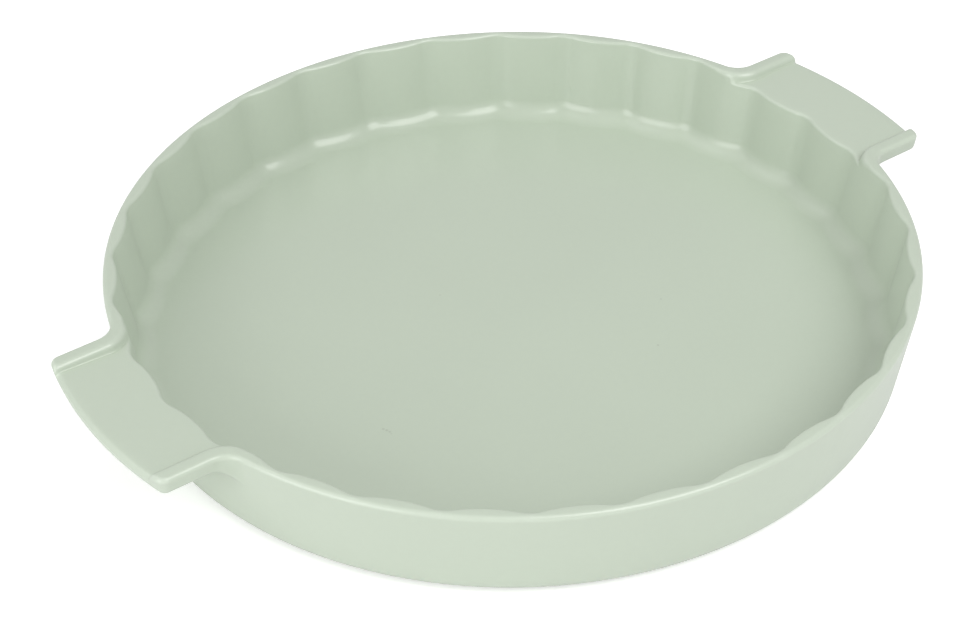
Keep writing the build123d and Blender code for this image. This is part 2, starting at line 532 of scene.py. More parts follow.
    def run(self, mesh: bpy.types.Mesh, values: dict[str, object]) -> np.ndarray:
        """Runs the tree on a mesh.

        Args:
            mesh: The plain lining.
            values: The tree's inputs by name.

        Returns:
            The lining's points, in the mesh's own order.
        """
        worker = bpy.data.objects.new("lining", mesh)
        bpy.context.scene.collection.objects.link(worker)
        modifier = worker.modifiers.new("press_flutes", "NODES")
        modifier.node_group = self.tree
        for item in self.tree.interface.items_tree:
            if item.in_out == "INPUT" and item.name in values:
                modifier[item.identifier] = values[item.name]
        graph = bpy.context.evaluated_depsgraph_get()
        graph.update()
        pressed = bpy.data.meshes.new_from_object(worker.evaluated_get(graph), depsgraph=graph)
        points = np.empty(len(pressed.vertices) * 3, np.float32)
        pressed.vertices.foreach_get("co", points)
        worker.modifiers.remove(modifier)
        bpy.data.objects.remove(worker)
        bpy.data.meshes.remove(pressed)
        return points.reshape(-1, 3).astype(float)


@dataclass(frozen=True)
class Grid:
    """How finely the dish's skin is divided."""

    quarter: int = 320
    sector: int = 80
    seat_column: int = 70
    flute_steps: int = 20
    crowding: float = 1.35
    cove_rows: int = 14
    wall_rows: int = 5
    rounding_rows: int = 6
    edge_rings: int = 7
    side_rows: int = 8
    under_edge_rows: int = 5
    under_rows: int = 10
    below_rows: int = 2
    base_rows: int = 8

    @property
    def columns(self) -> int:
        """Columns round the whole dish."""
        return 4 * self.quarter

    def angles(self, dish: DishSizes) -> np.ndarray:
        """Angles of a quarter's columns, closer together near each groove.

        Args:
            dish: Sizes of the dish.

        Returns:
            The angles in radians, from the middle of the lug.
        """
        steps = np.arange(self.flute_steps) / self.flute_steps
        made = []
        for number in range(self.quarter // self.flute_steps):
            if number % 2 == 0:
                made.append(number + steps**self.crowding)
            else:
                made.append(number + 1 - (1 - steps) ** self.crowding)
        made.append(np.array([self.quarter // self.flute_steps]))
        return np.concatenate(made) * dish.half_pitch

    @staticmethod
    def around(rows: np.ndarray) -> np.ndarray:
        """Carries the rows of a quarter round the whole dish by its two planes of symmetry."""
        half = np.concatenate([rows, rows[:, -2::-1] * (-1, 1, 1)], axis=1)
        return np.concatenate([half, half[:, -2:0:-1] * (1, -1, 1)], axis=1)

    def cell_labels(self, reach: int, inside: tuple[int, int], outside: int) -> np.ndarray:
        """A label for each column of cells.

        Args:
            reach: How many columns the lugs' cells reach to each side of the middle.
            inside: Labels at the right lug and at the left one.
            outside: Label elsewhere.

        Returns:
            One label for each cell column, -1 where no cell is wanted.
        """
        place = np.arange(self.columns) + 0.5
        right = np.minimum(place, self.columns - place) < reach
        left = np.abs(place - self.columns / 2) < reach
        return np.where(right, inside[0], np.where(left, inside[1], outside))


class Lining:
    """The inside of the dish, from the floor's edge over the cove and the flutes to the rim."""

    ROUNDS = 6

    def __init__(self, plan: LugPlan, grid: Grid, tree: FluteTree, glaze: bpy.types.Material) -> None:
        """Builds the lining.

        Args:
            plan: Plan of a lug, which sets the height of the lining's edge.
            grid: How finely the skin is divided.
            tree: The nodes that press the flutes in.
            glaze: The glaze that the nodes give the lining.
        """
        dish = plan.dish
        self.dish, self.plan, self.grid, self.tree, self.glaze = dish, plan, grid, tree, glaze
        self.angles = grid.angles(dish)
        self.turns = np.linspace(dish.draft, math.pi / 2, grid.rounding_rows + 1)
        low = dish.height - plan.lug.recess_depth
        level = np.where(self.angles < plan.notch_angle, low, dish.height)
        self.heights = self.drop_from(np.repeat(level[None], len(self.turns), axis=0))
        for _ in range(self.ROUNDS):
            self.rows = self.press()
            edge = self.rows[-len(self.turns) :]
            self.heights = self.drop_from(plan.level(edge[:, :, 0], edge[:, :, 1]))
        self.rows[-len(self.turns) :, :, 2] = self.heights

    def drop_from(self, level: np.ndarray) -> np.ndarray:
        """Heights of the inner edge's rounding, by row and column, under the top's level there."""
        return level - self.dish.rim_inner_rounding * (1.0 - np.sin(self.turns))[:, None]

    def profile(self) -> list[tuple[np.ndarray, np.ndarray, float, float, np.ndarray, float]]:
        """Rows from the floor up.

        Returns:
            For each row the grooves' radius, the height, the shares of the flutes' depth and of the
            grooves' rounding, the rounding's extra length, and how far the row follows the flutes.
        """
        dish, grid = self.dish, self.grid
        draft, cove = dish.draft, dish.cove_radius
        plain, none = np.ones_like(self.angles), np.zeros_like(self.angles)
        foot = dish.floor_top + cove * (1.0 - math.sin(draft))
        made = [(plain * dish.floor_radius, plain * dish.floor_top, 1.0, 1.0, none, 0.0)]
        for turn in np.linspace(math.pi / 2, draft, grid.cove_rows + 1):
            share = (turn - draft) / (math.pi / 2 - draft)
            groove = dish.groove_at(foot) - cove * (math.cos(draft) - math.cos(turn))
            z = dish.floor_top + cove * (1.0 - math.sin(turn))
            depth = 1.0 - (1.0 - dish.cove_flute_share) * share
            rounding = 1.0 + (dish.cove_rounding_share - 1.0) * share
            made.append((plain * groove, plain * z, depth, rounding, none, 1.0))
        top = self.heights[0]
        for share in np.linspace(0.0, 1.0, grid.wall_rows + 1)[1:]:
            z = foot + (top - foot) * share
            made.append((dish.groove_at(z), z, 1.0, 1.0, none, 1.0))
        for turn, z in list(zip(self.turns, self.heights))[1:]:
            out = dish.rim_inner_rounding * (math.cos(draft) - math.cos(turn))
            made.append((dish.groove_at(top) + out, z, 1.0, 1.0, plain * out, 1.0))
        return made

    def press(self) -> np.ndarray:
        """Runs the flute nodes over the plain rows and returns the quarter's rows.

        Returns:
            The quarter's points, by row, column and coordinate.
        """
        profile = self.profile()
        names = ("groove", "depth_share", "rounding_share", "rounding_extra", "fluted")
        points, numbers = [], {name: [] for name in names}
        for groove, z, depth, rounding, extra, fluted in profile:
            points.append(np.stack([groove * np.cos(self.angles), groove * np.sin(self.angles), z], 1))
            for name, value in zip(names, (groove, depth, rounding, extra, fluted)):
                numbers[name].append(np.broadcast_to(value, self.angles.shape))
        width = len(self.angles)
        faces = [
            (low, low + width, low + width + 1, low + 1)
            for row in range(len(profile) - 1)
            for low in range(row * width, (row + 1) * width - 1)
        ]
        mesh = bpy.data.meshes.new("plain_lining")
        mesh.from_pydata(np.concatenate(points).tolist(), [], faces)
        for name, values in numbers.items():
            layer = mesh.attributes.new(name, "FLOAT", "POINT")
            layer.data.foreach_set("value", np.concatenate(values).astype(np.float32))
        dish = self.dish
        inputs = {
            "Flutes": float(dish.flute_count),
            "Flute Depth": dish.flute_depth,
            "Groove Rounding": dish.groove_rounding,
            "Material": self.glaze,
        }
        pressed = self.tree.run(mesh, inputs).reshape(len(profile), width, 3)
        pressed[:, :, 2] = np.array([row[1] for row in profile])
        return pressed


class OuterForm:
    """The outside of the dish: the top edge, the lugs' sides and undersides, the wall and the base."""

    HALVINGS = 40
    TOUCH = 1e-6
    ROUNDING_FADE = 4.0
    SPACING_FADE = 3.0

    def __init__(self, dish: DishSizes, plan: LugPlan, grid: Grid) -> None:
        """Works out the quarter's rows.

        Args:
            dish: Sizes of the dish.
            plan: Plan of a lug.
            grid: How finely the skin is divided.
        """
        self.dish, self.plan, self.grid = dish, plan, grid
        angles = grid.angles(dish)
        near, near_normals = plan.outline(grid.sector, float(angles[grid.sector]))
        away = np.stack([np.cos(angles[grid.sector + 1 :]), np.sin(angles[grid.sector + 1 :])], 1)
        self.outline = np.concatenate([near, away * dish.rim_radius])
        self.normals = np.concatenate([near_normals, away])
        self.angles = np.arctan2(self.outline[:, 1], self.outline[:, 0])
        self.radial = np.stack([np.cos(self.angles), np.sin(self.angles)], 1)
        self.rounding = plan.edge_rounding(self.outline[:, 0], self.outline[:, 1])
        self.edge = self.edge_rows()
        self.side = self.side_rows()
        self.base = self.base_rows()

    def edge_rows(self) -> np.ndarray:
        """Rows of the top edge's rounding, from its foot on the top outwards.

        Returns:
            The points, by row, column and coordinate.
        """
        rows = []
        inset = self.plan.inset(self.outline[:, 0], self.outline[:, 1])
        for turn in np.linspace(0.0, math.pi / 2, self.grid.edge_rings):
            depth = inset + self.rounding * (1.0 - math.sin(turn))
            place = self.outline - depth[:, None] * self.normals
            z = self.plan.level(place[:, 0], place[:, 1]) - self.rounding * (1.0 - math.cos(turn))
            rows.append(np.column_stack([place, z]))
        return np.array(rows)

    def on_side(self, z: np.ndarray) -> np.ndarray:
        """Points of the drafted side at a height for each column."""
        place = self.outline - (self.dish.lean_out * (self.dish.height - z))[:, None] * self.normals
        return np.column_stack([place, z])

    def under(self, radius: np.ndarray) -> np.ndarray:
        """Height of a lug's underside at a radius, with the hollow where it meets the wall.

        Args:
            radius: Distances from the dish's axis.

        Returns:
            The heights.
        """
        dish, fillet = self.dish, self.plan.lug.under_fillet
        low = dish.height - self.plan.lug.thickness - fillet
        centre = dish.outer_at(low) + fillet / math.cos(dish.lean)
        inward = np.clip(centre - radius, 0.0, fillet * math.cos(dish.lean))
        return low + np.sqrt(fillet**2 - inward**2)

    def side_foot(self) -> np.ndarray:
        """Height at which each column's side meets the underside.

        Returns:
            The heights.
        """
        low = np.full(len(self.angles), self.dish.seat_foot)
        high = np.full(len(self.angles), self.dish.height)
        for _ in range(self.HALVINGS):
            middle = (low + high) / 2
            place = self.on_side(middle)
            above = middle > self.under(np.hypot(place[:, 0], place[:, 1])) + self.TOUCH
            high = np.where(above, middle, high)
            low = np.where(above, low, middle)
        return high

    def side_rows(self) -> np.ndarray:
        """Rows from the edge down the side, in under the lug and down the wall to the seat's foot.

        Returns:
            The points, by row, column and coordinate.
        """
        dish, lug, grid = self.dish, self.plan.lug, self.grid
        overhang = np.hypot(self.outline[:, 0], self.outline[:, 1]) - dish.rim_radius
        start, foot = self.edge[-1, :, 2], self.side_foot()
        rounding = lug.under_rounding * smooth_step(overhang / self.ROUNDING_FADE)
        rows = [self.edge[-1]]
        for share in np.linspace(0.0, 1.0, grid.side_rows + 1)[1:]:
            rows.append(self.on_side(start + (foot + rounding - start) * share))
        first, corner = self.on_side(foot + rounding), self.on_side(foot)
        last = corner.copy()
        last[:, :2] -= rounding[:, None] * self.normals
        last[:, 2] = self.under(np.hypot(last[:, 0], last[:, 1]))
        for t in np.linspace(0.0, 1.0, grid.under_edge_rows + 1)[1:]:
            rows.append((1 - t) ** 2 * first + 2 * t * (1 - t) * corner + t * t * last)
        wall_z = dish.height - lug.thickness - lug.under_fillet * (1.0 - math.sin(dish.lean))
        at_wall = np.column_stack([self.radial * dish.outer_at(wall_z), np.full(len(self.angles), wall_z)])
        for t in np.linspace(0.0, 1.0, grid.under_rows + 1)[1:]:
            row = last + (at_wall - last) * t
            row[:, 2] = self.under(np.hypot(row[:, 0], row[:, 1]))
            rows.append(row)
        for z in np.linspace(wall_z, dish.seat_foot, grid.below_rows + 1)[1:]:
            rows.append(self.on_wall(z))
        return self.even_out(np.array(rows), smooth_step(overhang / self.SPACING_FADE))

    def even_out(self, rows: np.ndarray, keep: np.ndarray) -> np.ndarray:
        """Spreads a column's points evenly along its line where the lug has faded into the wall.

        Args:
            rows: Points, by row, column and coordinate.
            keep: For each column, how far it keeps its own spacing.

        Returns:
            The rows with their new spacing.
        """
        made = rows.copy()
        for column in np.flatnonzero(keep < 1.0):
            line = rows[:, column]
            along = np.concatenate([[0.0], np.cumsum(np.linalg.norm(np.diff(line, axis=0), axis=1))])
            even = np.linspace(0.0, along[-1], len(line))
            spread = np.stack([np.interp(even, along, line[:, axis]) for axis in range(3)], 1)
            made[:, column] = spread + (line - spread) * keep[column]
        return made

    def on_wall(self, z: float) -> np.ndarray:
        """Points of the outer wall at one height."""
        return np.column_stack([self.radial * self.dish.outer_at(z), np.full(len(self.angles), z)])

    def base_rows(self) -> np.ndarray:
        """Rows from the seat's foot down the wall, round the base and in to the floor slab.

        Returns:
            The points, by row, column and coordinate.
        """
        dish, grid = self.dish, self.grid
        centre_z, centre = dish.foot_height + dish.base_rounding, dish.base_centre
        rows = [self.on_wall(dish.seat_foot), self.on_wall((dish.seat_foot + dish.base_touch) / 2)]
        for turn in np.linspace(-dish.lean, -math.pi / 2, grid.base_rows + 1):
            radius = centre + dish.base_rounding * math.cos(turn)
            z = centre_z + dish.base_rounding * math.sin(turn)
            rows.append(np.column_stack([self.radial * radius, np.full(len(self.angles), z)]))
        under = np.full(len(self.angles), dish.foot_height)
        rows.append(np.column_stack([self.radial * dish.floor_radius, under]))
        return np.array(rows)


class TopSheet:
    """The top of one lug and of the rim beside it, as triangles over the plan."""

    PANEL_STEP = 2.5
    RIDGE_STEP = 0.9
    ARC_STEPS = 26
    FADE_STEPS = 9
    CLEAR = 0.25
    END_ANGLE = 0.002
    SAME_PLACE = 1e-5

    def __init__(self, plan: LugPlan, grid: Grid, lining: Lining, outer: OuterForm) -> None:
        """Builds the triangles for the lug on the +X side.

        Args:
            plan: The lug's plan.
            grid: How finely the skin is divided.
            lining: The inside of the dish.
            outer: The outside of the dish.
        """
        last = grid.sector + 1
        self.plan = plan
        self.seat = plan.dish.rim_radius - plan.dish.seat_depth
        self.angles = lining.angles[:last]
        self.rim = lining.rows[-1, :last]
        self.edges = outer.edge[:, :last]
        seat_angles = outer.angles[: grid.seat_column + 1]
        self.seat_angle = float(seat_angles[-1])
        plan_seat = np.stack([np.cos(seat_angles), np.sin(seat_angles)], 1) * self.seat
        lines = [self.both(line) for line in [self.rim, self.lift(plan_seat), *self.edges]]
        ends = [
            np.vstack([self.rim[-1], self.edges[:, -1]]),
            np.vstack([self.lift(plan_seat)[-1], self.edges[:, grid.seat_column]]),
        ]
        lines += ends + [end * (1, -1, 1) for end in ends]
        for line in self.ridge_lines():
            lines += [self.lift(line), self.lift(line) * (1, -1, 1)]
        self.points, self.faces, self.in_lug = self.triangulate(lines)

    def lift(self, line: np.ndarray) -> np.ndarray:
        """Plan points with the height of the top."""
        return np.column_stack([line, self.plan.top(line[:, 0], line[:, 1])])

    @staticmethod
    def both(line: np.ndarray) -> np.ndarray:
        """A line from the middle of the lug outwards, carried on over its mirrored half."""
        return np.concatenate([(line * (1, -1, 1))[:0:-1], line])

    def ridge_lines(self) -> list[np.ndarray]:
        """Lines of plan points along the panel's side that lie within the top.

        Returns:
            The lines of the half with positive y.
        """
        plan, lug = self.plan, self.plan.lug
        lines = []
        for distance in RIDGE_RINGS:
            radius = lug.notch_corner - distance
            turns = np.linspace(-math.pi / 2, plan.notch_angle - math.pi, self.ARC_STEPS)
            arc = np.stack([np.cos(turns), np.sin(turns)], 1) * radius + plan.notch
            xs = np.arange(lug.reach, plan.notch[0] + 2 * self.CLEAR, -self.RIDGE_STEP)
            straight = np.stack([xs, np.full_like(xs, lug.side + distance)], 1)
            around = plan.notch_angle + np.linspace(0.0, lug.fade_angle, self.FADE_STEPS)[1:]
            rest = np.stack([np.cos(around), np.sin(around)], 1) * (plan.crest + distance)
            lines += self.within(np.concatenate([straight, arc, rest]))
        return lines

    def within(self, line: np.ndarray) -> list[np.ndarray]:
        """Splits a line of plan points into the stretches that lie clear of the top's edges.

        Args:
            line: The plan points.

        Returns:
            The stretches of two points or more.
        """
        x, y = line[:, 0], line[:, 1]
        angle = np.arctan2(y, x)
        inner = np.interp(angle, self.angles, np.hypot(self.rim[:, 0], self.rim[:, 1]))
        edge = self.plan.edge_rounding(x, y) + self.plan.inset(x, y)
        good = (np.hypot(x, y) > inner + self.CLEAR) & (self.plan.depth(x, y) > edge + self.CLEAR / 2)
        good &= angle < self.angles[-1] - self.END_ANGLE
        stretches, start = [], None
        for place, inside in enumerate([*good, False]):
            if inside and start is None:
                start = place
            elif not inside and start is not None:
                stretches.append(line[start:place])
                start = None
        return [stretch for stretch in stretches if len(stretch) > 1]

    def panel_fill(self) -> np.ndarray:
        """A loose grid of points on the sunk panel.

        Returns:
            The points of the half with positive y, with their heights.
        """
        lug, step = self.plan.lug, self.PANEL_STEP
        xs = np.arange(self.seat + step, lug.reach - step, step)
        ys = np.arange(step / 2, lug.side - step, step)
        grid = np.stack([axis.ravel() for axis in np.meshgrid(xs, ys)], 1)
        clear = self.plan.depth(grid[:, 0], grid[:, 1]) > lug.panel_edge_rounding + step / 2
        clear &= np.hypot(grid[:, 0], grid[:, 1]) > self.seat + step / 2
        return self.lift(grid[clear])

    def triangulate(
        self, lines: list[np.ndarray]
    ) -> tuple[np.ndarray, list[tuple[int, ...]], np.ndarray]:
        """Triangulates the top between its edges.

        Args:
            lines: Lines of points that the triangles keep as edges.

        Returns:
            The points, the triangles, and whether each triangle belongs to the lug.
        """
        links, count = [], 0
        for line in lines:
            links += [(count + k, count + k + 1) for k in range(len(line) - 1)]
            count += len(line)
        fill = self.panel_fill()
        given = np.concatenate([*lines, fill, fill * (1, -1, 1)])
        made = delaunay_2d_cdt([Vector(point) for point in given[:, :2]], links, [], 1, self.SAME_PLACE)
        flat, _, faces, origins, *_ = made
        points = self.lift(np.array([tuple(p) for p in flat]))
        for number, origin in enumerate(origins):
            if origin:
                points[number] = given[min(origin)]
        corners = np.array([tuple(face) for face in faces])
        a, b, c = (points[corners[:, k], :2] for k in range(3))
        area = (b[:, 0] - a[:, 0]) * (c[:, 1] - a[:, 1]) - (b[:, 1] - a[:, 1]) * (c[:, 0] - a[:, 0])
        corners[area < 0] = corners[area < 0][:, ::-1]
        middle = (a + b + c) / 3
        in_lug = np.hypot(middle[:, 0], middle[:, 1]) > self.seat
        in_lug &= np.abs(np.arctan2(middle[:, 1], middle[:, 0])) < self.seat_angle
        return points, [tuple(face) for face in corners.tolist()], in_lug


class Skin:
    """The glazed skin of the dish, welded from its strips and sheets."""

    WELD = 0.003
    LEAST = 1e-6

    def __init__(self) -> None:
        """Starts an empty skin."""
        self.points: list[np.ndarray] = []
        self.faces: list[tuple[int, ...]] = []
        self.labels: list[int] = []
        self.count = 0

    def strip(self, quarter: np.ndarray, labels: np.ndarray) -> None:
        """Adds rows of cells, each row from the inside of the dish outwards.

        Args:
            quarter: Points of a quarter, by row, column and coordinate.
            labels: A label for each column of cells, -1 where it is left out.
        """
        rows = Grid.around(quarter)
        height, width = rows.shape[:2]
        for row in range(height - 1):
            low, high = self.count + row * width, self.count + (row + 1) * width
            for column in np.flatnonzero(labels >= 0).tolist():
                after = (column + 1) % width
                self.faces.append((low + column, high + column, high + after, low + after))
                self.labels.append(int(labels[column]))
        self.points.append(rows.reshape(-1, 3))
        self.count += height * width

    def sheet(self, sheet: TopSheet, label: Label) -> None:
        """Adds a lug's top, turned half round for the left one.

        Args:
            sheet: The top of the lug on the +X side.
            label: The lug that it is for.
        """
        turn = -1 if label is Label.LEFT else 1
        self.points.append(sheet.points * (turn, turn, 1))
        self.faces += [tuple(self.count + corner for corner in face) for face in sheet.faces]
        self.labels += [label.value if lug else Label.WALL.value for lug in sheet.in_lug]
        self.count += len(sheet.points)

    def weld(self) -> None:
        """Joins the points that meet, then works out the normals and the bends."""
        mesh = bpy.data.meshes.new("skin")
        mesh.from_pydata(np.concatenate(self.points).tolist(), [], self.faces)
        mesh.attributes.new("label", "INT", "FACE").data.foreach_set("value", self.labels)
        work = bmesh.new()
        work.from_mesh(mesh)
        bmesh.ops.remove_doubles(work, verts=work.verts, dist=self.WELD)
        loose = [vertex for vertex in work.verts if not vertex.link_faces]
        bmesh.ops.delete(work, geom=loose, context="VERTS")
        work.to_mesh(mesh)
        work.free()
        self.corners = [tuple(face.vertices) for face in mesh.polygons]
        self.face_labels = np.empty(len(mesh.polygons), np.int32)
        mesh.attributes["label"].data.foreach_get("value", self.face_labels)
        flat = np.empty(len(mesh.vertices) * 3, np.float32)
        mesh.vertices.foreach_get("co", flat)
        self.places = flat.reshape(-1, 3).astype(float)
        mesh.vertex_normals.foreach_get("vector", flat)
        self.normals = flat.reshape(-1, 3).astype(float)
        ends = np.empty(len(mesh.edges) * 2, np.int32)
        mesh.edges.foreach_get("vertices", ends)
        self.bends = self.bend(ends.reshape(-1, 2))
        bpy.data.meshes.remove(mesh)

    def bend(self, edges: np.ndarray) -> np.ndarray:
        """How strongly the skin bends at each point: positive on edges, negative in hollows.

        Args:
            edges: The two points of each edge.

        Returns:
            The bend, from -1 to 1.
        """
        a, b = edges[:, 0], edges[:, 1]
        step = self.places[b] - self.places[a]
        length = np.maximum((step**2).sum(1), self.LEAST)
        turn = ((self.normals[b] - self.normals[a]) * step).sum(1) / length
        total, weight = np.zeros(len(self.places)), np.zeros(len(self.places))
        for end in (a, b):
            np.add.at(total, end, turn * np.sqrt(length))
            np.add.at(weight, end, np.sqrt(length))
        return np.clip(total / np.maximum(weight, self.LEAST), -1.0, 1.0)


class Seat:
    """The hidden faces on which a lug and the wall meet."""

    NEAR = 0.01
    ON_SEAT = 0.02

    def __init__(self, skin: Skin, label: Label, dish: DishSizes, first: int) -> None:
        """Works out the faces.

        Args:
            skin: The welded skin.
            label: The lug.
            dish: Sizes of the dish.
            first: Number that the seat's first new point gets.
        """
        turn = -1 if label is Label.LEFT else 1
        self.seat = dish.rim_radius - dish.seat_depth
        rim = self.border(skin, label)
        place = skin.places[rim] * (turn, turn, 1)
        radius, angle = np.hypot(place[:, 0], place[:, 1]), np.arctan2(place[:, 1], place[:, 0])
        low = np.abs(place[:, 2] - dish.seat_foot) < self.NEAR
        top = (np.abs(radius - self.seat) < self.ON_SEAT) & (place[:, 2] > dish.height / 2)
        top_line = rim[top][np.argsort(angle[top])]
        low_line = rim[low][np.argsort(angle[low])]
        bottom = float(dish.outer_at(dish.seat_foot)) - dish.seat_depth
        turns = np.sort(angle[top])
        foot = np.column_stack([np.cos(turns) * bottom, np.sin(turns) * bottom, turns * 0 + dish.seat_foot])
        self.points = foot * (turn, turn, 1)
        made = first + np.arange(len(turns))
        self.faces = [
            (int(top_line[k]), int(top_line[k + 1]), int(made[k + 1]), int(made[k]))
            for k in range(len(turns) - 1)
        ]
        self.faces.append((*made.tolist(), *low_line[::-1].tolist()))
        others = ~(low | top)
        for side in (-1, 1):
            here = others & (angle * side > 0)
            order = np.lexsort((radius[here], -np.round(place[here, 2], 4)))
            start, end = (0, 0) if side < 0 else (-1, -1)
            line = rim[here][order].tolist()
            self.faces.append((int(top_line[start]), *line, int(low_line[end]), int(made[end])))

    @staticmethod
    def border(skin: Skin, label: Label) -> np.ndarray:
        """Numbers of the points on the border of a lug's skin.

        Args:
            skin: The welded skin.
            label: The lug.

        Returns:
            The numbers in rising order.
        """
        uses: dict[tuple[int, int], int] = {}
        for number in np.flatnonzero(skin.face_labels == label.value):
            corners = skin.corners[number]
            for a, b in zip(corners, corners[1:] + corners[:1]):
                key = (min(a, b), max(a, b))
                uses[key] = uses.get(key, 0) + 1
        return np.array(sorted({end for key, count in uses.items() if count == 1 for end in key}))


@dataclass(frozen=True)
class Piece:
    """One clay part, made as a mesh object in metres that rides on the frame's body.

    Node is the frame's node that it stands for. Slot, the record's material slot, is not used.
    """

    name: str
    node: str
    slot: str
    material: bpy.types.Material

    def make(
        self,
        points: np.ndarray,
        faces: list[tuple[int, ...]],
        normals: np.ndarray,
        bends: np.ndarray,
        smooth: int,
    ) -> bpy.types.Object:
        """Makes the object.

        Args:
            points: Points in millimetres.
            faces: Corner numbers of each face, the smooth ones first.
            normals: Normal of each point for the smooth faces.
            bends: The bend at each point.
            smooth: How many faces are smooth.

        Returns:
            The object.
        """
        mesh = bpy.data.meshes.new(self.name)
        mesh.from_pydata((points * MM).tolist(), [], faces)
        work = bmesh.new()
        work.from_mesh(mesh)
        bmesh.ops.recalc_face_normals(work, faces=work.faces)
        work.to_mesh(mesh)
        work.free()
        mesh.attributes.new("bend", "FLOAT", "POINT").data.foreach_set("value", bends.astype(np.float32))
        mesh.polygons.foreach_set("use_smooth", np.ones(len(faces), bool))
        corner = np.empty(len(mesh.loops), np.int32)
        mesh.loops.foreach_get("vertex_index", corner)
        split = normals[corner]
        for face in mesh.polygons[smooth:]:
            split[face.loop_start : face.loop_start + face.loop_total] = face.normal
        mesh.normals_split_custom_set(split.tolist())
        mesh.materials.append(self.material)
        made = bpy.data.objects.new(self.name, mesh)
        bpy.context.scene.collection.objects.link(made)
        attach(made, "root")
        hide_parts(self.node)
        log.info("%s: %d faces", self.name, len(faces))
        return made


